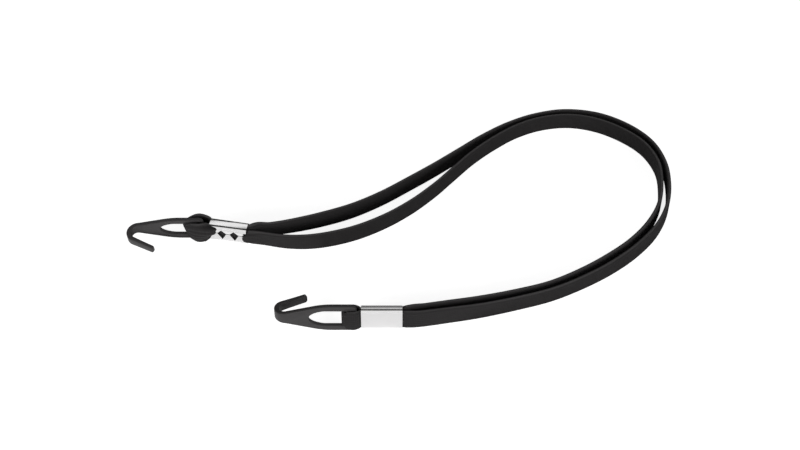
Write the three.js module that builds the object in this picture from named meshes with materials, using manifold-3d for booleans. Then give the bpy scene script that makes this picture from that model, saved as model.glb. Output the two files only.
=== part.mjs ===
// Flat elastic luggage strap: one woven rubber band, doubled between two moulded hooks.
// At each end the band turns round the bar of a hook's eye, and a folded sheet-metal ferrule
// grips both of its legs behind the hook. Millimetres, +Z up. The strap lies on a table at
// z = 0 with its bands standing on edge; the origin is midway between the two hook ends.
import * as THREE from 'three';
import { mergeVertices } from 'three/addons/utils/BufferGeometryUtils.js';
import Module from 'manifold-3d';

const wasm = await Module();
wasm.setup();

// Elastic band
const bandWidth = 10;
const bandThickness = 2.05;
const frontLegThickness = 1.45; // each leg as its ferrule grips it
const frontLegWidth = 10.6;
const backLegThickness = 2.25; // less tightly gripped, and thickened by the band's lapped ends
const backLegWidth = 10;
const frontPuff = 11.2; // width to which a loop swells beside the plate
const backPuff = 12.4;
const bandEdge = 0.45; // chamfer along the band's edges
const runGap = 0.45; // between the two runs where they leave a ferrule
const runSteps = 64;
const leadLength = 0.8; // how far a run leaves a ferrule straight

// Hook plate, its eye and its bar
const plateThickness = 2.4;
const plateHeight = 15.4;
const plateLength = 35.5; // strap end to the start of the bend
const shoulderLength = 17; // strap end to where the plate starts to taper
const shoulderBlend = 4;
const neckHeight = 6.3; // where the plate runs into the bend
const barWidth = 4.8;
const eyeLength = 19.1;
const eyeTaper = 8; // length of the eye's drawn-in end
const eyeTipShare = 0.5; // share of the eye's half height that its blunt tip stands upright
const eyeSideShare = 0.4; // share of the taper over which its sides come in to the tip
const eyeCorner = 1.2;
const railWidth = 3;
const endCorner = 2.8;
const edgeRound = 0.35;

// Bend and finger
const bendRadius = 4.55; // to the middle of the thickness
const bendAngle = THREE.MathUtils.degToRad(153.5);
const crownFacet = THREE.MathUtils.degToRad(12); // flat of the seat, square to the pull
const bendStep = THREE.MathUtils.degToRad(12);
const fingerLength = 13.3;
const fingerTipHeight = 4.4;
const fingerTipThickness = 1.9;
const fingerTaper = 3; // how soon the neck's height falls to the finger's
const tipCorner = 0.7; // rounding of the finger's tip
const rootOverlap = 1; // length of the bend's root that is sunk in the plate

// Ferrule
const ferruleLength = 20.4;
const ferruleWall = 0.6;
const ferruleCorner = 1.3;
const seamGap = 0.45;
const toothCount = 3; // teeth along each edge of the seam, with notches between and at the ends
const notchWidth = 5;
const seamOffset = 1.5; // seam below the middle of its face
const longNotch = 4.9; // reach of the notches above and below the seam
const shortNotch = 2.7;

// Clearances
const seatGap = 0.15; // band in a ferrule
const meetGap = 0.3; // a run to its ferrule
const barGap = 0.3; // loop to hook
const eyeGap = 0.4; // band to each rail of the eye
const tableGap = 0.05; // lowest edge of a run above the table

// Layout
const pivotInset = 1.5; // swivel axis, in from the strap end of a hook plate
const frontEndX = 49.8; // swivel axes of the two ends
const frontEndY = -36.3;
const backEndX = -34.3;
const endSpread = 68.8; // front swivel axis to back swivel axis, along y
const frontLean = THREE.MathUtils.degToRad(-2); // each end lies over a little, about its hook
const backLean = THREE.MathUtils.degToRad(13);
const frontFerruleYaw = 0;
const backFerruleYaw = THREE.MathUtils.degToRad(-10);
const frontMouthGap = 2.2; // ferrule to the strap end of the hook plate
const backMouthGap = 3.9;
const mouthLead = 0.6; // how far a loop's legs leave a ferrule straight
const frontSlack = 0.5; // how far a loop stands off the bar inside the eye
const backSlack = 4.4;
const frontBulge = 0.3; // how far a loop stands off the plate's faces
const backBulge = 2.6;

// What follows from those sizes
const eyeHeight = plateHeight - 2 * railWidth;
const runOffset = (bandThickness + runGap) / 2;
const loopEyeWidth = eyeHeight - 2 * eyeGap;
const lowHeight = bandWidth / 2 + tableGap;
const restHeight = (lean) =>
  (plateHeight / 2) * Math.cos(lean) + (plateThickness / 2 - edgeRound) * Math.sin(Math.abs(lean));

// The two ends. side is +1 where the finger and the ferrule's seam are on +y, and -1 where the
// same parts are turned over.
const frontEnd = {
  pivot: new THREE.Vector3(frontEndX, frontEndY, restHeight(frontLean)),
  side: 1,
  lean: frontLean,
  ferruleYaw: frontFerruleYaw,
  mouthGap: frontMouthGap,
  legThickness: frontLegThickness,
  legWidth: frontLegWidth,
  slack: frontSlack,
  bulge: frontBulge,
  puff: frontPuff,
};
const backEnd = {
  pivot: new THREE.Vector3(backEndX, frontEndY + endSpread, restHeight(backLean)),
  side: -1,
  lean: backLean,
  ferruleYaw: backFerruleYaw,
  mouthGap: backMouthGap,
  legThickness: backLegThickness,
  legWidth: backLegWidth,
  slack: backSlack,
  bulge: backBulge,
  puff: backPuff,
};

// Free route of each run between its two ferrules: x, y and the share of the ferrules'
// height above the table at which the run is carried there.
const outerRoute = [
  [-2.3, 31.6, 0.6], [11.6, 35.2, 0.45], [28.7, 41.6, 0.2], [46.3, 50.3, 0], [62.7, 61.4, 0],
  [77.7, 74.2, 0], [92.5, 87.4, 0], [106.9, 101.2, 0], [121.4, 115.1, 0], [137.1, 127.6, 0],
  [154.6, 137.1, 0], [173.5, 141.6, 0], [193.3, 137.9, 0], [209.6, 126.4, 0], [220.9, 110.2, 0],
  [225.5, 90.5, 0], [224.7, 70.5, 0], [220.2, 51.1, 0], [211.5, 33.2, 0], [199.1, 17.7, 0],
  [184.4, 4.2, 0], [168.2, -7.2, 0], [150.7, -16.8, 0], [132, -23.5, 0], [113, -29.3, 0.15],
  [96.5, -33.4, 0.45], [81.2, -37.3, 0.9],
];
const innerRoute = [
  [-2.7, 25.9, 0.4], [12.5, 23.1, 0.3], [27, 24.1, 0.1], [46.1, 30.2, 0], [63.4, 40.3, 0],
  [78.5, 53.2, 0], [91.9, 68.2, 0], [103.6, 83.9, 0], [115.3, 99.4, 0], [128.5, 113.5, 0],
  [143.1, 125.9, 0], [158.6, 133.8, 0], [175.5, 136.5, 0], [191.2, 132.4, 0], [205.4, 122.4, 0],
  [216.3, 108.5, 0], [221.5, 90.3, 0], [220.5, 71.5, 0], [216.1, 53, 0], [207.5, 36, 0],
  [195.7, 21, 0], [181.4, 8.1, 0], [165.9, -3.2, 0], [148.9, -12.8, 0], [130.6, -19.1, 0],
  [111.8, -24.4, 0.15], [95.4, -28.5, 0.45], [80.8, -32.9, 0.9],
];

// Materials
const elastic = () => new THREE.MeshStandardMaterial({ color: 0x1b1a1b, roughness: 0.85, metalness: 0 });
const plastic = () => new THREE.MeshStandardMaterial({ color: 0x2f2e30, roughness: 0.5, metalness: 0 });
const nickel = () => new THREE.MeshStandardMaterial({ color: 0xd9d8d8, roughness: 0.25, metalness: 1 });

// Joining and cutting
function toSolid(geometry) {
  const bare = new THREE.BufferGeometry();
  bare.setAttribute('position', geometry.getAttribute('position'));
  bare.setIndex(geometry.index);
  const merged = mergeVertices(bare, 1e-4);
  const vertProperties = new Float32Array(merged.getAttribute('position').array);
  const triVerts = new Uint32Array(merged.index.array);
  return new wasm.Manifold(new wasm.Mesh({ numProp: 3, vertProperties, triVerts }));
}

function toGeometry(solid) {
  const mesh = solid.getMesh();
  const geometry = new THREE.BufferGeometry();
  geometry.setAttribute('position', new THREE.BufferAttribute(mesh.vertProperties, 3));
  geometry.setIndex(new THREE.BufferAttribute(mesh.triVerts, 1));
  geometry.computeVertexNormals();
  return geometry;
}

// Closed skin over a row of rings that have the same number of points.
function loft(rings) {
  const sides = rings[0].length;
  const points = rings.flat();
  const faces = [];
  for (let r = 0; r + 1 < rings.length; r += 1) {
    for (let s = 0; s < sides; s += 1) {
      const a = r * sides + s;
      const b = r * sides + ((s + 1) % sides);
      faces.push(a, b, b + sides, a, b + sides, a + sides);
    }
  }
  const last = (rings.length - 1) * sides;
  for (let s = 1; s + 1 < sides; s += 1) {
    faces.push(0, s + 1, s);
    faces.push(last, last + s, last + s + 1);
  }
  const geometry = new THREE.BufferGeometry();
  geometry.setFromPoints(points);
  geometry.setIndex(faces);
  geometry.computeVertexNormals();
  return geometry;
}

// Corners of a flat section with chamfered edges: across is its thickness, up its width.
function flatSection(width, thickness, edge) {
  const w = width / 2;
  const t = thickness / 2;
  return [
    [-t, -w + edge], [-t + edge, -w], [t - edge, -w], [t, -w + edge],
    [t, w - edge], [t - edge, w], [-t + edge, w], [-t, w - edge],
  ];
}

// The section set upright at a point of a plan path that runs along a direction.
function sectionRing(point, direction, width, thickness, edge) {
  const left = new THREE.Vector2(-direction.y, direction.x);
  return flatSection(width, thickness, edge).map(
    ([across, up]) => new THREE.Vector3(point.x + left.x * across, point.y + left.y * across, up),
  );
}

// Hook, with its swivel axis on z and its plate reaching out along -x. The finger is on +y.
const strapEndX = pivotInset;
const barInnerX = strapEndX - barWidth;
const eyeTipX = barInnerX - eyeLength;
const shoulderX = strapEndX - shoulderLength;
const bendStartX = strapEndX - plateLength;

function plateOutline() {
  const half = plateHeight / 2;
  const neck = neckHeight / 2;
  const slope = new THREE.Vector2(bendStartX - shoulderX, neck - half).setLength(shoulderBlend);
  const shape = new THREE.Shape();
  shape.moveTo(bendStartX, -neck);
  shape.lineTo(shoulderX + slope.x, -half - slope.y);
  shape.quadraticCurveTo(shoulderX, -half, shoulderX + shoulderBlend, -half);
  shape.lineTo(strapEndX - endCorner, -half);
  shape.absarc(strapEndX - endCorner, -half + endCorner, endCorner, -Math.PI / 2, 0, false);
  shape.absarc(strapEndX - endCorner, half - endCorner, endCorner, 0, Math.PI / 2, false);
  shape.lineTo(shoulderX + shoulderBlend, half);
  shape.quadraticCurveTo(shoulderX, half, shoulderX + slope.x, half + slope.y);
  shape.lineTo(bendStartX, neck);
  shape.closePath();
  return shape;
}

// Bullet-shaped eye: square at the bar, drawn to a blunt tip towards the bend.
function eyeOutline() {
  const half = eyeHeight / 2;
  const taperX = eyeTipX + eyeTaper;
  const sideX = eyeTipX + eyeTaper * eyeSideShare;
  const hole = new THREE.Path();
  hole.moveTo(barInnerX - eyeCorner, half);
  hole.quadraticCurveTo(barInnerX, half, barInnerX, half - eyeCorner);
  hole.lineTo(barInnerX, -half + eyeCorner);
  hole.quadraticCurveTo(barInnerX, -half, barInnerX - eyeCorner, -half);
  hole.lineTo(taperX, -half);
  hole.bezierCurveTo(sideX, -half, eyeTipX, -half * eyeTipShare, eyeTipX, 0);
  hole.bezierCurveTo(eyeTipX, half * eyeTipShare, sideX, half, taperX, half);
  hole.closePath();
  return hole;
}

function hookPlate() {
  const shape = plateOutline();
  shape.holes.push(eyeOutline());
  const plate = new THREE.ExtrudeGeometry(shape, {
    depth: plateThickness - 2 * edgeRound,
    curveSegments: 8,
    bevelThickness: edgeRound,
    bevelSize: edgeRound,
    bevelOffset: -edgeRound,
    bevelSegments: 2,
  });
  plate.translate(0, 0, edgeRound - plateThickness / 2);
  plate.rotateX(Math.PI / 2);
  return plate;
}

// Angles from one to another in equal steps of about the given size.
function equalAngles(from, to, step) {
  const count = Math.round((to - from) / step);
  return Array.from({ length: count + 1 }, (_, i) => THREE.MathUtils.lerp(from, to, i / count));
}

// Bend and finger as one tapering bar, rounded off at the tip.
function hookFinger() {
  const centreY = bendRadius;
  const bendLength = bendRadius * bendAngle;
  const total = bendLength + fingerLength;
  const heightAt = (s) => fingerTipHeight + (neckHeight - fingerTipHeight) * (1 - s / total) ** fingerTaper;
  const thicknessAt = (s) =>
    THREE.MathUtils.lerp(plateThickness, fingerTipThickness, Math.max(0, s - bendLength) / fingerLength);
  const rings = [];
  const addRing = (point, direction, s, inset = 0) => {
    const height = heightAt(s) - 2 * inset;
    const thickness = thicknessAt(s) - 2 * inset;
    rings.push(sectionRing(point, direction, height, thickness, Math.min(edgeRound, thickness / 3)));
  };
  const outward = new THREE.Vector2(-1, 0);
  addRing(new THREE.Vector2(bendStartX + rootOverlap, 0), outward, 0);
  const crown = Math.PI / 2;
  const angles = [
    ...equalAngles(0, crown - crownFacet / 2, bendStep),
    ...equalAngles(crown + crownFacet / 2, bendAngle, bendStep),
  ];
  for (const angle of angles) {
    const point = new THREE.Vector2(
      bendStartX - bendRadius * Math.sin(angle),
      centreY - bendRadius * Math.cos(angle),
    );
    addRing(point, new THREE.Vector2(-Math.cos(angle), Math.sin(angle)), bendRadius * angle);
  }
  const back = new THREE.Vector2(-Math.cos(bendAngle), Math.sin(bendAngle));
  const fingerStart = new THREE.Vector2(
    bendStartX - bendRadius * Math.sin(bendAngle),
    centreY - bendRadius * Math.cos(bendAngle),
  );
  const straight = fingerLength - tipCorner;
  addRing(fingerStart.clone().addScaledVector(back, straight / 2), back, bendLength + straight / 2);
  for (const angle of equalAngles(0, Math.PI / 2, Math.PI / 6)) {
    const reach = straight + tipCorner * Math.sin(angle);
    const inset = tipCorner * (1 - Math.cos(angle));
    addRing(fingerStart.clone().addScaledVector(back, reach), back, bendLength + reach, inset);
  }
  return loft(rings);
}

function hookGeometry() {
  return toGeometry(toSolid(hookPlate()).add(toSolid(hookFinger())));
}

// Ferrule, with its hook-side mouth at x = 0 and its axis along +x. The folded sheet meets in
// a seam on the +y face, where the teeth of its two edges leave a row of kite-shaped windows
// between them and half a window at each end.
function roundedRectangle(width, height, corner) {
  const w = width / 2;
  const h = height / 2;
  const path = new THREE.Shape();
  path.moveTo(w - corner, -h);
  path.absarc(w - corner, -h + corner, corner, -Math.PI / 2, 0, false);
  path.absarc(w - corner, h - corner, corner, 0, Math.PI / 2, false);
  path.absarc(-w + corner, h - corner, corner, Math.PI / 2, Math.PI, false);
  path.absarc(-w + corner, -h + corner, corner, Math.PI, Math.PI * 1.5, false);
  path.closePath();
  return path;
}

function seamCutter(faceY) {
  const pitch = ferruleLength / toothCount;
  const half = notchWidth / 2;
  const upper = [];
  const lower = [];
  for (let i = 0; i <= toothCount; i += 1) {
    const x = pitch * i;
    upper.push([x - half, seamGap / 2], [x, longNotch], [x + half, seamGap / 2]);
    lower.push([x - half, -seamGap / 2], [x, -shortNotch], [x + half, -seamGap / 2]);
  }
  const outline = [...lower, ...upper.reverse()].map(([x, z]) => new THREE.Vector2(x, z));
  const cutter = new THREE.ExtrudeGeometry(new THREE.Shape(outline), {
    depth: 2 * ferruleWall,
    bevelEnabled: false,
  });
  cutter.rotateX(Math.PI / 2);
  cutter.translate(0, faceY + ferruleWall / 2, -seamOffset);
  return cutter;
}

function ferruleGeometry({ legThickness, legWidth }) {
  const boreThickness = 2 * legThickness + 3 * seatGap;
  const boreHeight = legWidth + 2 * seatGap;
  const thickness = boreThickness + 2 * ferruleWall;
  const section = roundedRectangle(thickness, boreHeight + 2 * ferruleWall, ferruleCorner);
  section.holes.push(roundedRectangle(boreThickness, boreHeight, ferruleCorner - ferruleWall));
  const sleeve = new THREE.ExtrudeGeometry(section, {
    depth: ferruleLength,
    curveSegments: 6,
    bevelEnabled: false,
  });
  const axes = new THREE.Matrix4();
  axes.makeBasis(new THREE.Vector3(0, 1, 0), new THREE.Vector3(0, 0, 1), new THREE.Vector3(1, 0, 0));
  sleeve.applyMatrix4(axes);
  return toGeometry(toSolid(sleeve).subtract(toSolid(seamCutter(thickness / 2))));
}

// Loop of the band round a hook's bar, both legs running through the ferrule. The path's third
// coordinate carries the band's width, which swells beside the plate and narrows to pass the eye.
function loopGeometry({ ferruleYaw, mouthGap, legThickness, legWidth, slack, bulge, puff }) {
  const mouthX = strapEndX + mouthGap;
  const legOffset = (legThickness + seatGap) / 2;
  const faceY = plateThickness / 2 + barGap + bandThickness / 2;
  const bulgeY = faceY + bulge;
  const bulgeEndY = faceY + bulge * 0.75;
  const apexX = barInnerX - barGap - slack - bandThickness / 2;
  const turnX = THREE.MathUtils.lerp(apexX, barInnerX, 0.45);
  const yaw = new THREE.Vector2(Math.cos(ferruleYaw), Math.sin(ferruleYaw));
  const inFerrule = (x, y, width) =>
    new THREE.Vector3(x * yaw.x - y * yaw.y, x * yaw.y + y * yaw.x, width);
  const half = (side) => [
    inFerrule(mouthX + ferruleLength, side * legOffset, legWidth),
    inFerrule(mouthX + bandThickness, side * legOffset, legWidth),
    inFerrule(mouthX - mouthLead, side * legOffset, legWidth),
    inFerrule(strapEndX + mouthGap * 0.45, (side * (legOffset + bulgeEndY)) / 2, (legWidth + puff) / 2),
    new THREE.Vector3(0, side * bulgeEndY, puff),
    new THREE.Vector3(barInnerX / 2, side * bulgeY, puff),
    new THREE.Vector3(barInnerX, side * bulgeEndY, (puff + bandWidth) / 2),
    new THREE.Vector3(turnX, side * (faceY * 0.75 + bulge * 0.4), loopEyeWidth),
  ];
  const points = [...half(-1), new THREE.Vector3(apexX, 0, loopEyeWidth), ...half(1).reverse()];
  const path = new THREE.CatmullRomCurve3(points, false, 'centripetal');
  const steps = 3 * (points.length - 1);
  const rings = [];
  for (let i = 0; i <= steps; i += 1) {
    const point = path.getPoint(i / steps);
    const tangent = path.getTangent(i / steps);
    const direction = new THREE.Vector2(tangent.x, tangent.y).normalize();
    const along = point.x * yaw.x + point.y * yaw.y;
    const open = THREE.MathUtils.smoothstep(mouthX - along, 0, mouthX);
    const thickness = THREE.MathUtils.lerp(legThickness, bandThickness, open);
    rings.push(sectionRing(point, direction, point.z, thickness, bandEdge));
  }
  return loft(rings);
}

// Run of the band from the back ferrule round to the front one. side is +1 for the run that is
// on the left on the way, the outer one, and -1 for the inner one.
function ferruleExit({ pivot, lean, ferruleYaw, mouthGap }, reach, offset) {
  const x = strapEndX + mouthGap + ferruleLength + meetGap + reach;
  const point = new THREE.Vector3(x, offset, 0);
  point.applyAxisAngle(new THREE.Vector3(0, 0, 1), ferruleYaw);
  point.applyAxisAngle(new THREE.Vector3(1, 0, 0), lean);
  return point.add(pivot);
}

function runGeometry(route, side) {
  const backExit = (reach) => ferruleExit(backEnd, reach, side * runOffset);
  const frontExit = (reach) => ferruleExit(frontEnd, reach, -side * runOffset);
  const middle = route.map(
    ([x, y, share]) => new THREE.Vector3(x, y, THREE.MathUtils.lerp(lowHeight, frontEnd.pivot.z, share)),
  );
  const path = new THREE.CatmullRomCurve3(
    [backExit(0), backExit(leadLength), ...middle, frontExit(leadLength), frontExit(0)],
    false,
    'centripetal',
  );
  const corners = flatSection(bandWidth, bandThickness, bandEdge);
  const section = new THREE.Shape(corners.map(([across, up]) => new THREE.Vector2(up, across)));
  return new THREE.ExtrudeGeometry(section, {
    steps: runSteps,
    extrudePath: path,
    bevelEnabled: false,
  });
}

// Assembly
function namedMesh(name, geometry, material) {
  const mesh = new THREE.Mesh(geometry, material);
  mesh.name = name;
  return mesh;
}

// One end of the strap about its swivel axis.
function strapEnd(name, end) {
  const group = new THREE.Group();
  group.position.copy(end.pivot);
  group.rotation.x = end.lean;
  const turnedOver = end.side > 0 ? 0 : Math.PI;

  const hook = namedMesh(`${name}_hook`, hookGeometry(), plastic());
  hook.rotation.x = turnedOver;

  const ferruleAxis = new THREE.Group();
  ferruleAxis.rotation.z = end.ferruleYaw;
  const ferrule = namedMesh(`${name}_ferrule`, ferruleGeometry(end), nickel());
  ferrule.position.x = strapEndX + end.mouthGap;
  ferrule.rotation.x = turnedOver;
  ferruleAxis.add(ferrule);

  const loop = namedMesh(`${name}_loop`, loopGeometry(end), elastic());
  group.add(hook, ferruleAxis, loop);
  return group;
}

const strap = new THREE.Group();
strap.add(
  strapEnd('front', frontEnd),
  strapEnd('back', backEnd),
  namedMesh('outer_run', runGeometry(outerRoute, 1), elastic()),
  namedMesh('inner_run', runGeometry(innerRoute, -1), elastic()),
);

export default strap;
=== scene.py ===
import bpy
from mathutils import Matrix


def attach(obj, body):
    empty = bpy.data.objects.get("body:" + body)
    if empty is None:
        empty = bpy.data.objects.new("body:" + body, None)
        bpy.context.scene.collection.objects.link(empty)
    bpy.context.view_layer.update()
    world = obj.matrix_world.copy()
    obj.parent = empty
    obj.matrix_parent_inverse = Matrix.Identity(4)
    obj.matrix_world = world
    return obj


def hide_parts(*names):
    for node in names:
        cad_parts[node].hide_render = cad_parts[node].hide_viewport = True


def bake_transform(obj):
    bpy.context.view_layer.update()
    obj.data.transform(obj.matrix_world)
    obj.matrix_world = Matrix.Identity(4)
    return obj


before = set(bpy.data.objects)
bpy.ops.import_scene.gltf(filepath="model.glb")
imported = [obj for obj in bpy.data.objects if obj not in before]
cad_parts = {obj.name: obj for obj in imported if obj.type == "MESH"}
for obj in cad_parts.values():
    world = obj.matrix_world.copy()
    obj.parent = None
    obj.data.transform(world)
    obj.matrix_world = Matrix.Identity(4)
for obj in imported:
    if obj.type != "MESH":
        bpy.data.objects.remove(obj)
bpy.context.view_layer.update()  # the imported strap, a fixed frame

import math

import bpy
from mathutils import Matrix, Vector

# Camera, as the strap was photographed: straight on, looking down on the table
viewpoint = {"place": (0.0727, -0.4507, 0.4151), "tiltDegrees": 50.0, "lens": 52.65}


def placeCamera():
    bpy.ops.object.camera_add(
        location=viewpoint["place"], rotation=(math.radians(viewpoint["tiltDegrees"]), 0, 0)
    )
    camera = bpy.context.object
    camera.name = "strapCamera"
    camera.data.sensor_fit = "HORIZONTAL"
    camera.data.sensor_width = 36
    camera.data.lens = viewpoint["lens"]
    camera.data.clip_start = 0.01
    bpy.context.scene.camera = camera
    print("camera placed")


def dropSelection():
    if bpy.context.object and bpy.context.object.mode != "OBJECT":
        bpy.ops.object.mode_set(mode="OBJECT")
    bpy.ops.object.select_all(action="DESELECT")


# Small helpers for node trees
def newMaterial(name):
    material = bpy.data.materials.new(name)
    material.use_nodes = True
    tree = material.node_tree
    tree.nodes.clear()
    output = tree.nodes.new("ShaderNodeOutputMaterial")
    shader = tree.nodes.new("ShaderNodeBsdfPrincipled")
    tree.links.new(shader.outputs["BSDF"], output.inputs["Surface"])
    return material, tree, shader


def addNode(tree, kind, inputs=None, **settings):
    node = tree.nodes.new(kind)
    for key, value in settings.items():
        setattr(node, key, value)
    for key, value in (inputs or {}).items():
        if isinstance(value, bpy.types.NodeSocket):
            tree.links.new(value, node.inputs[key])
        else:
            node.inputs[key].default_value = value
    return node


def sums(tree, operation, *values):
    return addNode(tree, "ShaderNodeMath", dict(enumerate(values)), operation=operation).outputs[0]


def mixColours(tree, factor, first, second):
    return addNode(
        tree, "ShaderNodeMix", {"Factor": factor, "A": first, "B": second}, data_type="RGBA"
    ).outputs["Result"]


def noise(tree, place, scale, detail):
    settings = {"Vector": place, "Scale": scale, "Detail": detail}
    return addNode(tree, "ShaderNodeTexNoise", settings).outputs["Fac"]


def addBump(tree, shader, height, look):
    settings = {"Height": height, "Strength": look["bump"], "Distance": look["bumpHeight"]}
    tree.links.new(addNode(tree, "ShaderNodeBump", settings).outputs["Normal"], shader.inputs["Normal"])


def grey(level, warmth=0.0):
    return (level * (1 + warmth), level * (1 - warmth / 2), level, 1)


# Woven elastic: warp threads along the band, weft across it, and a painted highlight along its rounded edges
elasticLook = {
    "unit": 0.01,  # one step of the weave map, in metres
    # the edge colour is a painted highlight, paler than the band, along its rounded edges
    "dark": 0.0130, "pale": 0.0270, "paintedEdgeHighlight": 0.085,
    "weftPitch": 0.00085, "warpPitch": 0.00055,
    "cloudScale": 1.7, "fuzzScale": 42.0, "weaveShare": 0.45, "fuzzShare": 0.5,
    "roughnessLow": 0.62, "roughnessHigh": 0.84, "bump": 0.30, "bumpHeight": 0.00012,
    "specular": 0.18, "sheen": 0.04, "sheenRoughness": 0.5,
}


def elasticMaterial():
    look = elasticLook
    material, tree, shader = newMaterial("wovenElastic")
    place = addNode(tree, "ShaderNodeUVMap", uv_map="weave").outputs["UV"]
    edge = addNode(tree, "ShaderNodeAttribute", attribute_name="paintedEdgeHighlight").outputs["Fac"]
    waveScale = 2 * math.pi / 20 * look["unit"]
    weft = addNode(
        tree, "ShaderNodeTexWave", {"Vector": place, "Scale": waveScale / look["weftPitch"],
        "Distortion": 1.2, "Detail": 1.0, "Detail Scale": 1.5}, bands_direction="X",
    ).outputs["Fac"]
    warp = addNode(
        tree, "ShaderNodeTexWave", {"Vector": place, "Scale": waveScale / look["warpPitch"],
        "Distortion": 0.6, "Detail": 1.0, "Detail Scale": 1.0}, bands_direction="Y",
    ).outputs["Fac"]
    cloud = noise(tree, place, look["cloudScale"], 4.0)
    fuzz = noise(tree, place, look["fuzzScale"], 2.0)
    weave = sums(tree, "MULTIPLY", weft, warp)
    mottle = sums(tree, "MULTIPLY", cloud, fuzz)
    tone = sums(tree, "MULTIPLY_ADD", weave, look["weaveShare"], mottle)
    body = mixColours(tree, tone, grey(look["dark"], 0.04), grey(look["pale"], 0.04))
    # painted highlight: the rounded edges of the band get the paler edge colour in place of light catching them
    tree.links.new(mixColours(tree, edge, body, grey(look["paintedEdgeHighlight"], 0.03)), shader.inputs["Base Color"])
    rough = addNode(
        tree, "ShaderNodeMapRange", {"Value": mottle, "From Min": 0.1, "From Max": 0.45,
        "To Min": look["roughnessLow"], "To Max": look["roughnessHigh"]},
    ).outputs["Result"]
    tree.links.new(rough, shader.inputs["Roughness"])
    addBump(tree, shader, sums(tree, "MULTIPLY_ADD", fuzz, look["fuzzShare"], weave), look)
    shader.inputs["Specular IOR Level"].default_value = look["specular"]
    shader.inputs["Sheen Weight"].default_value = look["sheen"]
    shader.inputs["Sheen Roughness"].default_value = look["sheenRoughness"]
    return material


# Satin black moulding of the hooks
hookLook = {
    "dark": 0.038, "pale": 0.052, "cloudScale": 190.0, "grainScale": 3600.0,
    "roughnessLow": 0.38, "roughnessHigh": 0.52, "bump": 0.12, "bumpHeight": 0.00005, "specular": 0.25,
}


def hookMaterial():
    look = hookLook
    material, tree, shader = newMaterial("mouldedBlack")
    place = addNode(tree, "ShaderNodeTexCoord").outputs["Object"]
    cloud = noise(tree, place, look["cloudScale"], 3.0)
    grain = noise(tree, place, look["grainScale"], 2.0)
    tree.links.new(
        mixColours(tree, cloud, grey(look["dark"], 0.03), grey(look["pale"], 0.03)), shader.inputs["Base Color"]
    )
    rough = addNode(
        tree, "ShaderNodeMapRange", {"Value": cloud, "From Min": 0.3, "From Max": 0.7,
        "To Min": look["roughnessLow"], "To Max": look["roughnessHigh"]},
    ).outputs["Result"]
    tree.links.new(rough, shader.inputs["Roughness"])
    addBump(tree, shader, grain, look)
    shader.inputs["Specular IOR Level"].default_value = look["specular"]
    return material


# Bright plated sheet of the ferrules, drawn along its length
ferruleLook = {
    "dark": 0.80, "pale": 0.88, "drawnScale": (60, 2600, 2600), "smudgeScale": 260.0,
    "roughnessLow": 0.10, "roughnessHigh": 0.18, "bump": 0.1, "bumpHeight": 0.00003,
}


def ferruleMaterial():
    look = ferruleLook
    material, tree, shader = newMaterial("platedSheet")
    place = addNode(tree, "ShaderNodeTexCoord").outputs["Object"]
    drawn = addNode(tree, "ShaderNodeMapping", {"Vector": place, "Scale": look["drawnScale"]}).outputs["Vector"]
    lines = noise(tree, drawn, 1.0, 3.0)
    smudge = noise(tree, place, look["smudgeScale"], 4.0)
    tree.links.new(
        mixColours(tree, smudge, grey(look["dark"], 0.004), grey(look["pale"], 0.004)), shader.inputs["Base Color"]
    )
    rough = addNode(
        tree, "ShaderNodeMapRange", {"Value": lines, "From Min": 0.25, "From Max": 0.75,
        "To Min": look["roughnessLow"], "To Max": look["roughnessHigh"]},
    ).outputs["Result"]
    tree.links.new(rough, shader.inputs["Roughness"])
    addBump(tree, shader, lines, look)
    shader.inputs["Metallic"].default_value = 1.0
    return material


# The two ends about their swivel axes; the same parts are turned over where side is -1
ends = {
    "front": {
        "pivot": (0.0498, -0.0363, 0.007725), "lean": -2.0, "yaw": 0.0, "side": 1, "mouth": 0.0037,
        "body": "strap", "legThickness": 0.00145, "legWidth": 0.0106, "runBulge": 0.0003, "lift": 0.0003,
    },
    "back": {
        "pivot": (-0.0343, 0.0325, 0.007694), "lean": 13.0, "yaw": -10.0, "side": -1, "mouth": 0.0054,
        "body": "back_end", "legThickness": 0.00225, "legWidth": 0.0100, "runBulge": 0.0006, "lift": 0.0006,
    },
}


def hookPlace(end):
    return Matrix.Translation(end["pivot"]) @ Matrix.Rotation(math.radians(end["lean"]), 4, "X")


def ferruleTurn(end):
    return Matrix.Rotation(math.radians(end["yaw"]), 4, "Z")


def upAt(end):
    return hookPlace(end).to_3x3() @ Vector((0, 0, 1))


# Band of elastic laid along a route, ribbed by the rubber strands inside it
band = {
    "width": 0.0102, "thickness": 0.00205, "ribs": 7, "ribDepth": 0.00005, "edgeRound": 0.00075,
    "facePoints": 29, "edgePoints": 5, "step": 0.0011,
}


def smoothRoute(points, step):
    knots = [Vector(point) for point in points]
    padded = [2 * knots[0] - knots[1]] + knots + [2 * knots[-1] - knots[-2]]
    fine = []
    for a, b, c, d in zip(padded, padded[1:], padded[2:], padded[3:]):
        t1 = (b - a).length ** 0.5
        t2 = t1 + (c - b).length ** 0.5
        t3 = t2 + (d - c).length ** 0.5
        for i in range(30):
            t = t1 + (t2 - t1) * i / 30
            ab = a.lerp(b, t / t1)
            bc = b.lerp(c, (t - t1) / (t2 - t1))
            cd = c.lerp(d, (t - t2) / (t3 - t2))
            fine.append(ab.lerp(bc, t / t2).lerp(bc.lerp(cd, (t - t1) / (t3 - t1)), (t - t1) / (t2 - t1)))
    fine.append(knots[-1])
    along = [0.0]
    for a, b in zip(fine, fine[1:]):
        along.append(along[-1] + (b - a).length)
    count = max(2, round(along[-1] / step))
    route, k = [], 0
    for i in range(count + 1):
        s = along[-1] * i / count
        while k + 2 < len(along) and along[k + 1] < s:
            k += 1
        route.append(fine[k].lerp(fine[k + 1], (s - along[k]) / max(along[k + 1] - along[k], 1e-9)))
    return route


def smoothStep(value):
    value = min(1.0, max(0.0, value))
    return value * value * (3 - 2 * value)


def blendValues(first, second, share):
    return first + (second - first) * share


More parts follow.
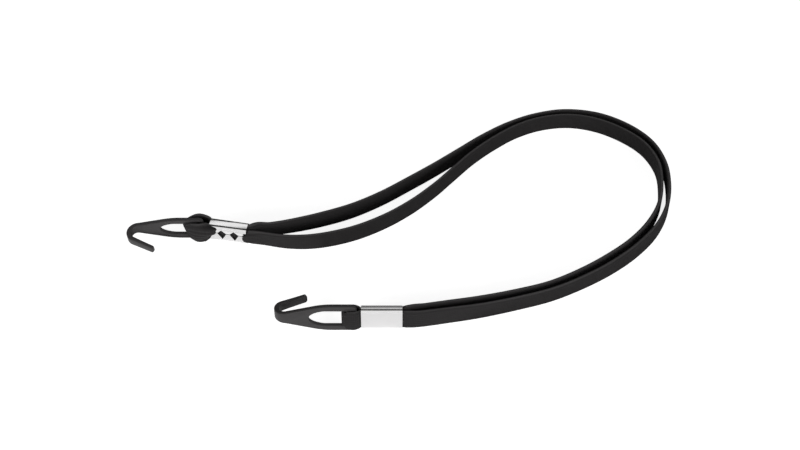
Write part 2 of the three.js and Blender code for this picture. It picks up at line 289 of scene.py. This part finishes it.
def bandRing(width, thickness, ribs, ribDepth, cup, sway):
    rounding = min(band["edgeRound"], thickness * 0.45)
    flat = width / 2 - rounding
    ring = []  # across, up, share of the painted highlight along the rounded edges
    for face in (1, -1):
        for i in range(band["facePoints"]):
            f = i / (band["facePoints"] - 1)
            rib = abs(math.sin(math.pi * (ribs * f + sway * math.sin(math.pi * f)))) ** 0.7
            across = face * (thickness / 2 - ribDepth * (1 - rib)) - cup * (2 * f - 1) ** 2
            ring.append((across, face * flat * (2 * f - 1), 0.0))
        for i in range(1, band["edgePoints"] + 1):
            turn = math.pi * i / (band["edgePoints"] + 1)
            across = face * thickness / 2 * math.cos(turn) - cup
            ring.append((across, face * (flat + rounding * math.sin(turn)), math.sin(turn) ** 6))
    return ring


# How far the gathered band stands out past a ferrule's mouth and folds back over its edge
lipFold = {"outOver": 0.0004, "backOver": 0.0008, "outSpread": 1.6, "backSpread": 1.15, "facing": 5}


def lipAt(lip, past, end):
    if not lip or not 0 < past < lip["fadeStart"] + lip["reach"]:
        return None
    axes = (hookPlace(end) @ ferruleTurn(end)).to_3x3()
    fade = 1 - smoothStep((past - lip["fadeStart"]) / lip["reach"])
    out = lip["out"] * smoothStep(past / lipFold["outOver"]) * fade
    back = lip["back"] * smoothStep((past - lip["backStart"]) / lipFold["backOver"]) * fade
    return lip["side"], lip["centre"], lip["spread"], axes @ Vector((0, -out, 0)), axes @ Vector((back, 0, 0))


def layBand(name, stations):
    count = len(stations)
    vertices, faces, paintedEdgeHighlight, placeAlong = [], [], [], [0.0]
    for i, station in enumerate(stations):
        ahead = stations[min(i + 1, count - 1)]["at"] - stations[max(i - 1, 0)]["at"]
        ahead.normalize()
        left = station["up"].cross(ahead).normalized()
        up = ahead.cross(left)
        ring = bandRing(
            station["width"], station["thickness"], station["ribs"], station["ribDepth"],
            station["cup"], station["sway"],
        )
        for across, rise, share in ring:
            at = station["at"] + left * (across + station["skew"] * rise) + up * rise
            if station["lip"]:
                side, centre, spread, outward, backward = station["lip"]
                middle = 1 - abs(rise - centre) / spread
                facing = min(1.0, max(0.0, across * side * lipFold["facing"] / station["thickness"]))
                shift = outward * smoothStep(lipFold["outSpread"] * middle)
                shift = shift + backward * smoothStep(lipFold["backSpread"] * middle)
                at = at + shift * facing
            vertices.append(at)
            paintedEdgeHighlight.append(share)
        if i:
            placeAlong.append(placeAlong[-1] + (station["at"] - stations[i - 1]["at"]).length)
    sides = len(vertices) // count
    flatRing = bandRing(band["width"], band["thickness"], band["ribs"], 0.0, 0.0, 0.0)
    placeRound = [0.0]
    for a, b in zip(flatRing, flatRing[1:] + flatRing[:1]):
        placeRound.append(placeRound[-1] + math.hypot(b[0] - a[0], b[1] - a[1]))
    corners = []
    for i in range(count - 1):
        for s in range(sides):
            t = (s + 1) % sides
            faces.append((i * sides + s, i * sides + t, (i + 1) * sides + t, (i + 1) * sides + s))
            corners.extend([(i, s), (i, s + 1), (i + 1, s + 1), (i + 1, s)])
    faces.append(tuple(reversed(range(sides))))
    corners.extend((0, s) for s in reversed(range(sides)))
    faces.append(tuple((count - 1) * sides + s for s in range(sides)))
    corners.extend((count - 1, s) for s in range(sides))
    mesh = bpy.data.meshes.new(name)
    mesh.from_pydata([tuple(v) for v in vertices], [], faces)
    weave = mesh.uv_layers.new(name="weave")
    for loop, (i, s) in zip(weave.data, corners):
        loop.uv = (placeAlong[i] / elasticLook["unit"], placeRound[s] / elasticLook["unit"])
    # painted highlight: how much of the paler edge colour each vertex gets
    share = mesh.attributes.new("paintedEdgeHighlight", "FLOAT", "POINT")
    share.data.foreach_set("value", paintedEdgeHighlight)
    mesh.polygons.foreach_set("use_smooth", [True] * len(mesh.polygons))
    mesh.validate()
    mesh.update()
    piece = bpy.data.objects.new(name, mesh)
    bpy.context.collection.objects.link(piece)
    return piece


# The two free runs, each from the back ferrule round the bend to the front ferrule
runs = {
    "outerBand": {
        "node": "outer_run", "backInside": (-0.0114, 0.0297, 0.00706), "frontInside": (0.0712, -0.0371, 0.00775),
        "tipDegrees": 7.0, "lip": None, "backFlare": 0.0018, "frontFlare": 0.0,
        "points": [
            (-0.0084, 0.0293, 0.00695), (-0.0077, 0.0291, 0.00692), (-0.0023, 0.0316, 0.00665),
            (0.0116, 0.0352, 0.00625), (0.0287, 0.0416, 0.00558), (0.0463, 0.0503, 0.00505),
            (0.0627, 0.0614, 0.00505), (0.0777, 0.0742, 0.00505), (0.0925, 0.0874, 0.00505),
            (0.1069, 0.1012, 0.00505), (0.1214, 0.1151, 0.00505), (0.1371, 0.1276, 0.00505),
            (0.1546, 0.1371, 0.00505), (0.1735, 0.1416, 0.00505), (0.1933, 0.1379, 0.00505),
            (0.2096, 0.1264, 0.00505), (0.2209, 0.1102, 0.00505), (0.2255, 0.0905, 0.00505),
            (0.2247, 0.0705, 0.00505), (0.2202, 0.0511, 0.00505), (0.2115, 0.0332, 0.00505),
            (0.1991, 0.0177, 0.00505), (0.1844, 0.0042, 0.00505), (0.1682, -0.0072, 0.00505),
            (0.1507, -0.0168, 0.00505), (0.1320, -0.0235, 0.00505), (0.1130, -0.0293, 0.00545),
            (0.0965, -0.0334, 0.00625), (0.0812, -0.0373, 0.00746), (0.0750, -0.0375, 0.00777),
            (0.0742, -0.0375, 0.00777),
        ],
    },
    "innerBand": {
        "node": "inner_run", "backInside": (-0.0118, 0.0274, 0.00653), "frontInside": (0.0712, -0.0355, 0.00770),
        "tipDegrees": 0.0, "backFlare": 0.0, "frontFlare": 0.0009,
        "lip": {
            "side": -1, "centre": 0.0008, "spread": 0.0055, "out": 0.0019,
            "back": -0.0036, "backStart": 0.0003, "fadeStart": 0.0010, "reach": 0.0075,
        },
        "points": [
            (-0.0088, 0.0269, 0.00640), (-0.0080, 0.0267, 0.00637), (-0.0027, 0.0259, 0.00612),
            (0.0125, 0.0231, 0.00585), (0.0270, 0.0241, 0.00532), (0.0461, 0.0302, 0.00505),
            (0.0634, 0.0403, 0.00505), (0.0785, 0.0532, 0.00505), (0.0919, 0.0682, 0.00505),
            (0.1036, 0.0839, 0.00505), (0.1153, 0.0994, 0.00505), (0.1285, 0.1135, 0.00505),
            (0.1431, 0.1259, 0.00505), (0.1586, 0.1338, 0.00505), (0.1755, 0.1365, 0.00505),
            (0.1912, 0.1324, 0.00505), (0.2054, 0.1224, 0.00505), (0.2163, 0.1085, 0.00505),
            (0.2215, 0.0903, 0.00505), (0.2205, 0.0715, 0.00505), (0.2161, 0.0530, 0.00505),
            (0.2075, 0.0360, 0.00505), (0.1957, 0.0210, 0.00505), (0.1814, 0.0081, 0.00505),
            (0.1659, -0.0032, 0.00505), (0.1489, -0.0128, 0.00505), (0.1306, -0.0191, 0.00505),
            (0.1118, -0.0244, 0.00545), (0.0954, -0.0285, 0.00625), (0.0808, -0.0329, 0.00746),
            (0.0750, -0.0351, 0.00768), (0.0742, -0.0351, 0.00768),
        ],
    },
}
runLay = {
    "still": (0.0733, -0.0216, 0.0071), "drawn": (-0.0087, 0.0281, 0.0069),  # span over which a run stretches
    "inside": 0.0030, "swell": 0.0030, "gather": 0.018, "gatherDepth": 0.00024, "twist": 0.050,
    "swellLead": 0.0015, "bulgeOver": 0.002, "bulgeFade": 0.010, "gatherOver": 0.001,
    "flareOver": 0.001, "flareHold": 0.002, "flareFade": 0.010, "raise": 0.0001, "widenOver": 0.008,
    # stretch before the front ferrule where the outer run tips outwards
    "tipStart": 0.012, "tipOver": 0.05, "tipHold": 0.08, "tipEnd": 0.150,
    "fineShare": 5, "fineCount": 60,  # closer rings where the band folds over the back ferrule
}


def layRuns(material):
    lay, upright = runLay, Vector((0, 0, 1))
    for name, run in runs.items():
        points = [run["backInside"]] + run["points"] + [run["frontInside"]]
        share, keep = lay["fineShare"], lay["fineCount"]
        fine = smoothRoute(points, band["step"] / share)
        last = len(fine) - 1
        route = [point for i, point in enumerate(fine) if i < keep or i % share == 0 or i == last]
        length = sum((b - a).length for a, b in zip(route, route[1:]))
        stations, s = [], 0.0
        for i, point in enumerate(route):
            ahead = (route[min(i + 1, len(route) - 1)] - route[max(i - 1, 0)]).normalized()
            if i:
                s += (point - route[i - 1]).length
            out = min(s, length - s) - lay["inside"]
            atBack = s < length / 2
            end = ends["back"] if atBack else ends["front"]
            swell = smoothStep((out + lay["swellLead"]) / lay["swell"])
            bulge = end["runBulge"] * smoothStep(out / lay["bulgeOver"])
            bulge = bulge * (1 - smoothStep((out - lay["bulgeOver"]) / lay["bulgeFade"]))
            gather = smoothStep(out / lay["gatherOver"]) * (1 - smoothStep(out / lay["gather"]))
            twist = 1 - smoothStep(out / lay["twist"])
            flare = (run["backFlare"] if atBack else run["frontFlare"]) * smoothStep(out / lay["flareOver"])
            flare = flare * (1 - smoothStep((out - lay["flareHold"]) / lay["flareFade"]))
            widen = smoothStep(out / lay["widenOver"])
            toFront = length - s - lay["inside"]
            tip = smoothStep((toFront - lay["tipStart"]) / lay["tipOver"])
            tip = tip * (1 - smoothStep((toFront - lay["tipHold"]) / (lay["tipEnd"] - lay["tipHold"])))
            outward = upright.cross(ahead).normalized() * math.tan(math.radians(run["tipDegrees"]) * tip)
            stations.append({
                "at": point + upright * (lay["raise"] * widen + flare / 2),
                "up": (upright.lerp(upAt(end), twist) + outward).normalized(),
                "width": blendValues(end["legWidth"], band["width"], widen) + flare,
                "thickness": blendValues(end["legThickness"], band["thickness"], swell) + bulge,
                "ribs": band["ribs"], "ribDepth": blendValues(band["ribDepth"], lay["gatherDepth"], gather),
                "cup": 0.0, "sway": 0.0, "skew": 0.0,
                "lip": lipAt(run["lip"], s - lay["inside"], ends["back"]),
            })
        piece = layBand(name, stations)
        piece.data.materials.append(material)
        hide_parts(run["node"])
        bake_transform(piece)
        print(name, "laid,", round(length * 1000), "mm")


# Loops of the band round the bars of the hooks: x, y off the middle and width, from the ferrule's
# mouth round to the apex, in the frame of each hook's swivel axis
loops = {
    "frontLoop": {
        "node": "front_loop", "end": "front", "bodies": ("strap", "front_hook"),
        "legs": [(0.0206, 0.0008, 0.0106), (0.0057, 0.0008, 0.0106), (0.0034, 0.0010, 0.0108)],
        "round": [
            (0.0022, 0.0020, 0.0112), (0.0004, 0.0029, 0.0114), (-0.0016, 0.0029, 0.0114),
            (-0.0033, 0.0027, 0.0108), (-0.0043, 0.0020, 0.0090),
        ],
        "apex": (-0.0051, 0.0, 0.0086),
        "ribs": 7, "ribDepth": 0.00012, "cup": 0.0003, "sway": 0.2, "skew": 0.0, "nearPuff": 0.0, "lip": None,
    },
    "backLoop": {
        "node": "back_loop", "end": "back", "bodies": ("back_end", "back_hook"),
        "legs": [(0.0223, 0.0012, 0.0100), (0.0074, 0.0012, 0.0100), (0.0054, 0.0014, 0.0102)],
        "round": [
            (0.0039, 0.0029, 0.0114), (0.0020, 0.0045, 0.0126), (-0.0006, 0.0052, 0.0130),
            (-0.0032, 0.0049, 0.0128), (-0.0052, 0.0039, 0.0114), (-0.0070, 0.0024, 0.0092),
        ],
        "apex": (-0.0082, 0.0, 0.0082),
        "ribs": 5, "ribDepth": 0.00045, "cup": 0.0010, "sway": 0.5, "skew": 0.16, "nearPuff": 0.0020,
        "lip": {
            "side": 1, "centre": 0.0034, "spread": 0.0068, "out": 0.0005,
            "back": 0.0050, "backStart": 0.0013, "fadeStart": 0.0022, "reach": 0.0055,
        },
    },
}


loopLay = {"step": 0.00035, "openLead": 0.0012, "openOver": 0.004, "cupFrom": 0.4}


def loopHalf(loop, turn, side):
    legs = [turn @ Vector((x, side * y, width)) for x, y, width in loop["legs"]]
    return legs + [Vector((x, side * y, width)) for x, y, width in loop["round"]]


def layLoops(material):
    lay = loopLay
    for name, loop in loops.items():
        end = ends[loop["end"]]
        turn = ferruleTurn(end)
        nearHalf, farHalf = loopHalf(loop, turn, -1), loopHalf(loop, turn, 1)
        local = smoothRoute(nearHalf + [Vector(loop["apex"])] + farHalf[::-1], lay["step"])
        place, stations = hookPlace(end), []
        widest = max(abs(point.y) for point in farHalf[len(loop["legs"]):])
        for point in local:
            along = (turn.inverted() @ point).x
            opened = smoothStep((end["mouth"] + lay["openLead"] - along) / lay["openOver"])
            off = smoothStep((abs(point.y) / widest - lay["cupFrom"]) / (1 - lay["cupFrom"]))
            puff = loop["nearPuff"] * smoothStep(-point.y / widest) * opened
            stations.append({
                "at": place @ Vector((point.x, point.y, puff / 2)), "up": upAt(end), "width": point.z + puff,
                "thickness": blendValues(end["legThickness"], band["thickness"], opened),
                "ribs": loop["ribs"], "ribDepth": blendValues(band["ribDepth"], loop["ribDepth"], opened),
                "cup": loop["cup"] * opened * off, "sway": loop["sway"] * opened,
                "skew": loop["skew"] * (1 - smoothStep(abs(point.y) / widest)) * opened,
                "lip": lipAt(loop["lip"], end["mouth"] - along, end) if point.y < 0 else None,
            })
        piece = layBand(name, stations)
        piece.data.materials.append(material)
        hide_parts(loop["node"])
        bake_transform(piece)
        print(name, "laid")


# Edit-mode helpers
def pick(piece, test, kind):
    bpy.ops.object.mode_set(mode="OBJECT")
    bpy.context.tool_settings.mesh_select_mode = (False, kind == "EDGE", kind == "FACE")
    mesh = piece.data
    for group in (mesh.vertices, mesh.edges, mesh.polygons):
        group.foreach_set("select", [False] * len(group))
    found = 0
    for item in (mesh.polygons if kind == "FACE" else mesh.edges):
        points = [mesh.vertices[v].co for v in item.vertices]
        if test(points):
            item.select = True
            found += 1
    bpy.ops.object.mode_set(mode="EDIT")
    return found


def addBlock(name, low, high):
    dropSelection()
    low, high = Vector(low), Vector(high)
    bpy.ops.mesh.primitive_cube_add(size=1, location=(low + high) / 2, scale=high - low)
    bpy.ops.object.transform_apply(location=True, rotation=True, scale=True)
    block = bpy.context.object
    block.name = name
    return block


def applyModifier(piece, kind, **settings):
    dropSelection()
    piece.select_set(True)
    bpy.context.view_layer.objects.active = piece
    modifier = piece.modifiers.new(kind.lower(), kind)
    for key, value in settings.items():
        setattr(modifier, key, value)
    bpy.ops.object.modifier_apply(modifier=modifier.name)


def cutAway(piece, cutter):
    applyModifier(piece, "BOOLEAN", operation="DIFFERENCE", object=cutter, solver="EXACT")
    bpy.data.objects.remove(cutter, do_unlink=True)


def settle(piece, place):
    dropSelection()
    piece.select_set(True)
    bpy.context.view_layer.objects.active = piece
    piece.data.transform(place)
    bpy.ops.object.mode_set(mode="EDIT")
    bpy.ops.mesh.select_all(action="SELECT")
    bpy.ops.mesh.remove_doubles(threshold=0.000002)
    bpy.ops.mesh.normals_make_consistent(inside=False)
    bpy.ops.object.mode_set(mode="OBJECT")
    bpy.ops.object.shade_smooth_by_angle(angle=math.radians(38))


def near(value, target):
    return abs(value - target) < 0.00002


# Hook: a plate with an eye, bent round into a finger, with its swivel axis at the origin
hook = {
    "thickness": 0.0024, "height": 0.0154, "strapEnd": 0.0015, "shoulder": -0.0155, "shoulderRound": 0.0040,
    "bendStart": -0.0340, "neck": 0.0063, "bar": -0.0033,
    "eyeTip": -0.0224, "eyeHeight": 0.0094, "eyeTaper": 0.0080,
    "tipShare": 0.7, "sideShare": 0.8, "eyeCorner": 0.0011, "endCorner": 0.0028, "bendRadius": 0.00455,
    "bendDegrees": 153.5, "bendSteps": 26,
    "fingerLength": 0.0133, "fingerHeight": 0.0044, "fingerThickness": 0.0019,
    "taper": 3, "tipRound": 0.0013, "edge": 0.00042,
}


def fingerHeightAt(s):
    h = hook
    total = h["bendRadius"] * math.radians(h["bendDegrees"]) + h["fingerLength"]
    return h["fingerHeight"] + (h["neck"] - h["fingerHeight"]) * (1 - s / total) ** h["taper"]


def modelEyeCutter():
    h = hook
    half, taper = h["eyeHeight"] / 2, h["eyeTip"] + h["eyeTaper"]
    eye = addBlock("eyeCutter", (taper, -0.003, -half), (h["bar"], 0.003, half))
    acrossPlate = lambda p: near(p[0].x, p[1].x) and near(p[0].z, p[1].z)
    pick(eye, lambda p: acrossPlate(p) and near(p[0].x, h["bar"]), "EDGE")
    bpy.ops.mesh.bevel(offset=h["eyeCorner"], segments=5)
    pick(eye, lambda p: all(near(v.x, taper) for v in p), "FACE")
    steps, x, rise = 9, taper, half
    for i in range(1, steps):  # sides drawn in along a curve to the blunt tip
        t = 1 - i / steps
        nextX = h["eyeTip"] + h["eyeTaper"] * (3 * (1 - t) * t * t * h["sideShare"] + t ** 3)
        nextRise = half * (3 * (1 - t) ** 2 * t * h["tipShare"] + 3 * (1 - t) * t * t + t ** 3)
        bpy.ops.mesh.extrude_region_move(TRANSFORM_OT_translate={"value": (nextX - x, 0, 0)})
        bpy.ops.transform.resize(value=(1, 1, nextRise / rise), center_override=(nextX, 0, 0))
        x, rise = nextX, nextRise
    bpy.ops.object.mode_set(mode="OBJECT")
    return eye


def modelHook():
    h = hook
    half, thin = h["height"] / 2, h["thickness"] / 2
    plate = addBlock("hookBlank", (h["bendStart"], -thin, -half), (h["strapEnd"], thin, half))
    run, drop = h["shoulder"] - h["bendStart"], half - h["neck"] / 2
    for side in (1, -1):  # the two slopes down to the neck
        bpy.ops.object.mode_set(mode="EDIT")
        bpy.ops.mesh.select_all(action="SELECT")
        bpy.ops.mesh.bisect(
            plane_co=(h["shoulder"], 0, side * half), plane_no=Vector((-drop, 0, side * run)).normalized(),
            use_fill=True, clear_outer=True,
        )
    acrossPlate = lambda p: near(p[0].x, p[1].x) and near(p[0].z, p[1].z)
    pick(plate, lambda p: acrossPlate(p) and near(p[0].x, h["strapEnd"]), "EDGE")
    bpy.ops.mesh.bevel(offset=h["endCorner"], segments=7)
    pick(plate, lambda p: acrossPlate(p) and near(p[0].x, h["shoulder"]), "EDGE")
    bpy.ops.mesh.bevel(offset=h["shoulderRound"], segments=8)
    bpy.ops.object.mode_set(mode="OBJECT")
    cutAway(plate, modelEyeCutter())

    pick(plate, lambda p: all(near(v.x, h["bendStart"]) for v in p), "FACE")
    turnStep = math.radians(h["bendDegrees"]) / h["bendSteps"]
    height = h["neck"]
    for i in range(h["bendSteps"]):
        bpy.ops.mesh.extrude_region_move(TRANSFORM_OT_translate={"value": (0, 0, 0)})
        bpy.ops.transform.rotate(
            value=turnStep, orient_axis="Z", center_override=(h["bendStart"], h["bendRadius"], 0),
        )
        nextHeight = fingerHeightAt(h["bendRadius"] * turnStep * (i + 1))
        bpy.ops.transform.resize(value=(1, 1, nextHeight / height), center_override=(0, 0, 0))
        height = nextHeight
    turn = math.radians(h["bendDegrees"])
    back = Vector((-math.cos(turn), math.sin(turn), 0))
    tip = Vector((h["bendStart"] - h["bendRadius"] * math.sin(turn), h["bendRadius"] * (1 - math.cos(turn)), 0))
    steps, bendLength = 4, h["bendRadius"] * turn
    for i in range(steps):
        bpy.ops.mesh.extrude_region_move(TRANSFORM_OT_translate={"value": back * (h["fingerLength"] / steps)})
        tip = tip + back * (h["fingerLength"] / steps)
        nextHeight = fingerHeightAt(bendLength + h["fingerLength"] * (i + 1) / steps)
        thinner = (h["fingerThickness"] / h["thickness"]) ** (1 / steps)
        bpy.ops.transform.resize(
            value=(thinner, 1, nextHeight / height), center_override=tip, orient_type="GLOBAL",
            orient_matrix=((-back.y, back.x, 0), (back.x, back.y, 0), (0, 0, 1)), orient_matrix_type="GLOBAL",
        )
        height = nextHeight
    atTip = lambda p: all(abs((v - tip).dot(back)) < 0.00003 and v.y > 0.008 for v in p)
    pick(plate, lambda p: atTip(p) and near(p[0].z, p[1].z), "EDGE")
    bpy.ops.mesh.bevel(offset=h["tipRound"], segments=6)
    bpy.ops.object.mode_set(mode="OBJECT")
    print("hook bent, reaches x", round(min(v.co.x for v in plate.data.vertices) * 1000, 2))
    applyModifier(plate, "BEVEL", width=h["edge"], segments=3, limit_method="ANGLE", angle_limit=math.radians(50))
    return plate


# Ferrule: sheet folded round both legs, the teeth of its two edges meeting in a seam on +y
ferrule = {
    "length": 0.0204, "wall": 0.0006, "seat": 0.00040, "corner": 0.0021, "seam": 0.00045,
    "seamOffset": 0.0015, "teeth": 3, "notchWidth": 0.0050, "longNotch": 0.0049, "shortNotch": 0.0027,
    "edge": 0.00014, "seatAcross": 1.5,  # a looser seat across the legs than along them
    "seamCut": 1.3, "overCut": 0.001, "windowDepth": 0.0018, "windowProud": 0.0002,
}


def modelFerrule(end):
    f = ferrule
    half = end["legWidth"] / 2 + f["seat"] + f["wall"]
    thin = end["legThickness"] + f["seat"] * f["seatAcross"] + f["wall"]
    sleeve = addBlock("ferruleBlank", (0, -thin, -half), (f["length"], thin, half))
    pick(sleeve, lambda p: near(p[0].y, p[1].y) and near(p[0].z, p[1].z), "EDGE")
    bpy.ops.mesh.bevel(offset=f["corner"], segments=14)
    pick(sleeve, lambda p: all(near(v.x, 0) for v in p) or all(near(v.x, f["length"]) for v in p), "FACE")
    bpy.ops.mesh.delete(type="FACE")
    bpy.ops.object.mode_set(mode="OBJECT")
    applyModifier(sleeve, "SOLIDIFY", thickness=f["wall"], offset=-1)
    seamTop, seamLow = f["seam"] / 2 - f["seamOffset"], -f["seam"] / 2 - f["seamOffset"]
    over = f["overCut"]
    cutAway(sleeve, addBlock(
        "seamCutter", (-over, thin - f["wall"] * f["seamCut"], seamLow), (f["length"] + over, thin + over, seamTop),
    ))
    for i in range(f["teeth"] + 1):  # kites between the teeth, half of one at each end
        middle = f["length"] * i / f["teeth"]
        dropSelection()
        bpy.ops.mesh.primitive_cylinder_add(
            vertices=4, radius=1, depth=f["windowDepth"], location=(middle, thin + f["windowProud"], 0),
            rotation=(math.pi / 2, 0, 0),
        )
        bpy.ops.object.transform_apply(location=True, rotation=True, scale=True)
        window = bpy.context.object
        for v in window.data.vertices:
            v.co.x = middle + (v.co.x - middle) * f["notchWidth"] / 2
            v.co.z = v.co.z * (f["longNotch"] if v.co.z > 0 else f["shortNotch"]) - f["seamOffset"]
        cutAway(sleeve, window)
    applyModifier(sleeve, "BEVEL", width=f["edge"], segments=2, limit_method="ANGLE", angle_limit=math.radians(45))
    return sleeve


def placeHardware(hookFinish, ferruleFinish):
    hookShape = modelHook()
    for name, end in ends.items():
        stand = hookPlace(end)
        over = Matrix.Rotation(0 if end["side"] > 0 else math.pi, 4, "X")
        piece = bpy.data.objects.new(name + "HookMoulding", hookShape.data.copy())
        bpy.context.collection.objects.link(piece)
        settle(piece, stand @ over)
        piece.data.materials.append(hookFinish)
        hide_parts(name + "_hook")
        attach(piece, name + "_hook")
        sleeve = modelFerrule(end)
        sleeve.name = name + "FerruleSleeve"
        settle(sleeve, stand @ ferruleTurn(end) @ Matrix.Translation((end["mouth"], 0, end["lift"])) @ over)
        sleeve.data.materials.append(ferruleFinish)
        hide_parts(name + "_ferrule")
        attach(sleeve, end["body"])
        print(name, "hook and ferrule placed")
    bpy.data.objects.remove(hookShape, do_unlink=True)


# Studio: a pale table lit low from the camera's side, with a softer lamp behind
studio = {
    "floorSize": 6, "floorColour": 0.86, "floorGlow": 0.86,
    "paintedReflectionGlow": 0.54, "paintedDarkReflection": 0.06,  # painted reflection: the table as glossy rays see it, glowing before each end and painted dark elsewhere
    "mirrorSplit": 0.030, "backMirrorEdge": 0.031, "frontMirrorEdge": -0.034,
    "sideLight": 0.20, "sideTop": 0.50, "zenithLight": 0.02, "zenithFrom": 0.75, "aim": (0.07, 0.03, 0),
    "lamps": {
        "leftSoftbox": {"place": (-0.75, -0.85, 0.30), "wide": 1.0, "tall": 0.36, "power": 9.0},
        "rightSoftbox": {"place": (0.95, -0.75, 0.30), "wide": 1.0, "tall": 0.36, "power": 9.0},
        "rearSoftbox": {"place": (0.10, 1.25, 0.40), "wide": 1.2, "tall": 0.40, "power": 1.6},
    },
    # what polished metal shows, from the camera's side over the top to the far side
    "mirror": [
        (0.0, 0.9), (0.24, 0.9), (0.30, 0.04), (0.645, 0.04), (0.665, 1.0), (0.745, 1.0), (0.79, 0.45),
        (0.89, 0.32), (0.92, 0.30), (0.937, 0.04),
    ],
    "leftMirror": [
        (0.0, 0.9), (0.24, 0.9), (0.30, 0.04), (0.645, 0.04), (0.665, 1.0), (0.745, 1.0), (0.765, 0.04),
    ],
    "leftFrom": -0.06,
}


def seenDirectly(tree):
    path = addNode(tree, "ShaderNodeLightPath")
    straight = sums(tree, "MAXIMUM", path.outputs["Is Camera Ray"], path.outputs["Is Transmission Ray"])
    return straight, path.outputs["Is Glossy Ray"]


def levelRamp(tree, value, stops):
    ramp = addNode(tree, "ShaderNodeValToRGB", {"Fac": value})
    while len(ramp.color_ramp.elements) < len(stops):
        ramp.color_ramp.elements.new(1.0)
    for element, (position, level) in zip(ramp.color_ramp.elements, stops):
        element.position = position
        element.color = grey(level)
    return ramp.outputs["Color"]


def lightStudio():
    scene = bpy.context.scene
    scene.view_settings.view_transform = "Standard"
    dropSelection()
    bpy.ops.mesh.primitive_plane_add(size=studio["floorSize"], location=(0, 0, 0))
    floor = bpy.context.object
    floor.name = "table"
    material, tree, shader = newMaterial("tableTop")
    shader.inputs["Roughness"].default_value = 0.9
    shader.inputs["Specular IOR Level"].default_value = 0.1
    straight, mirrored = seenDirectly(tree)
    place = addNode(tree, "ShaderNodeTexCoord").outputs["Object"]
    spot = addNode(tree, "ShaderNodeSeparateXYZ", {"Vector": place}).outputs
    # painted reflection: the part of the table in front of each end, as glossy rays see it
    leftPart = sums(tree, "LESS_THAN", spot["X"], studio["mirrorSplit"])
    step = studio["backMirrorEdge"] - studio["frontMirrorEdge"]
    limit = sums(tree, "MULTIPLY_ADD", leftPart, step, studio["frontMirrorEdge"])
    paintedNearReflection = sums(tree, "MULTIPLY", mirrored, sums(tree, "LESS_THAN", spot["Y"], limit))
    paintedDarkReflection = sums(tree, "SUBTRACT", mirrored, paintedNearReflection)
    tone = mixColours(tree, paintedDarkReflection, grey(studio["floorColour"]), grey(studio["paintedDarkReflection"]))
    tree.links.new(tone, shader.inputs["Base Color"])  # painted reflection: to glossy rays the table is painted dark except in front of each end
    # painted reflection: extra glow on the table that only glossy rays see, in front of each end
    level = sums(tree, "MULTIPLY", paintedNearReflection, studio["paintedReflectionGlow"])
    glow = sums(tree, "MULTIPLY_ADD", straight, studio["floorGlow"], level)
    shader.inputs["Emission Color"].default_value = (1, 1, 1, 1)
    tree.links.new(glow, shader.inputs["Emission Strength"])
    floor.data.materials.append(material)

    world = bpy.data.worlds.new("studioWorld")
    scene.world = world
    world.use_nodes = True
    tree = world.node_tree
    background = tree.nodes["Background"]
    direction = addNode(tree, "ShaderNodeTexCoord").outputs["Generated"]
    parts = addNode(tree, "ShaderNodeSeparateXYZ", {"Vector": direction}).outputs
    side, zenith = studio["sideLight"], studio["zenithLight"]
    light = levelRamp(tree, parts["Z"], [(0.0, side), (studio["sideTop"], side), (studio["zenithFrom"], zenith)])
    reach = sums(tree, "MULTIPLY_ADD", parts["Y"], 0.5, 0.5)
    mirror = mixColours(
        tree, sums(tree, "LESS_THAN", parts["X"], studio["leftFrom"]),
        levelRamp(tree, reach, studio["mirror"]), levelRamp(tree, reach, studio["leftMirror"]),
    )
    straight, mirrored = seenDirectly(tree)
    colour = mixColours(tree, straight, mixColours(tree, mirrored, light, mirror), grey(1.0))
    tree.links.new(colour, background.inputs["Color"])

    for name, lamp in studio["lamps"].items():
        bpy.ops.object.light_add(type="AREA", location=lamp["place"])
        light = bpy.context.object
        light.name = name
        light.data.shape = "RECTANGLE"
        light.data.size = lamp["wide"]
        light.data.size_y = lamp["tall"]
        light.data.energy = lamp["power"]
        light.visible_glossy = False
        aim = Vector(studio["aim"]) - Vector(lamp["place"])
        light.rotation_euler = aim.to_track_quat("-Z", "Y").to_euler()
    print("studio lit")


dropSelection()
placeCamera()
elasticFinish = elasticMaterial()
layRuns(elasticFinish)
layLoops(elasticFinish)
placeHardware(hookMaterial(), ferruleMaterial())
lightStudio()
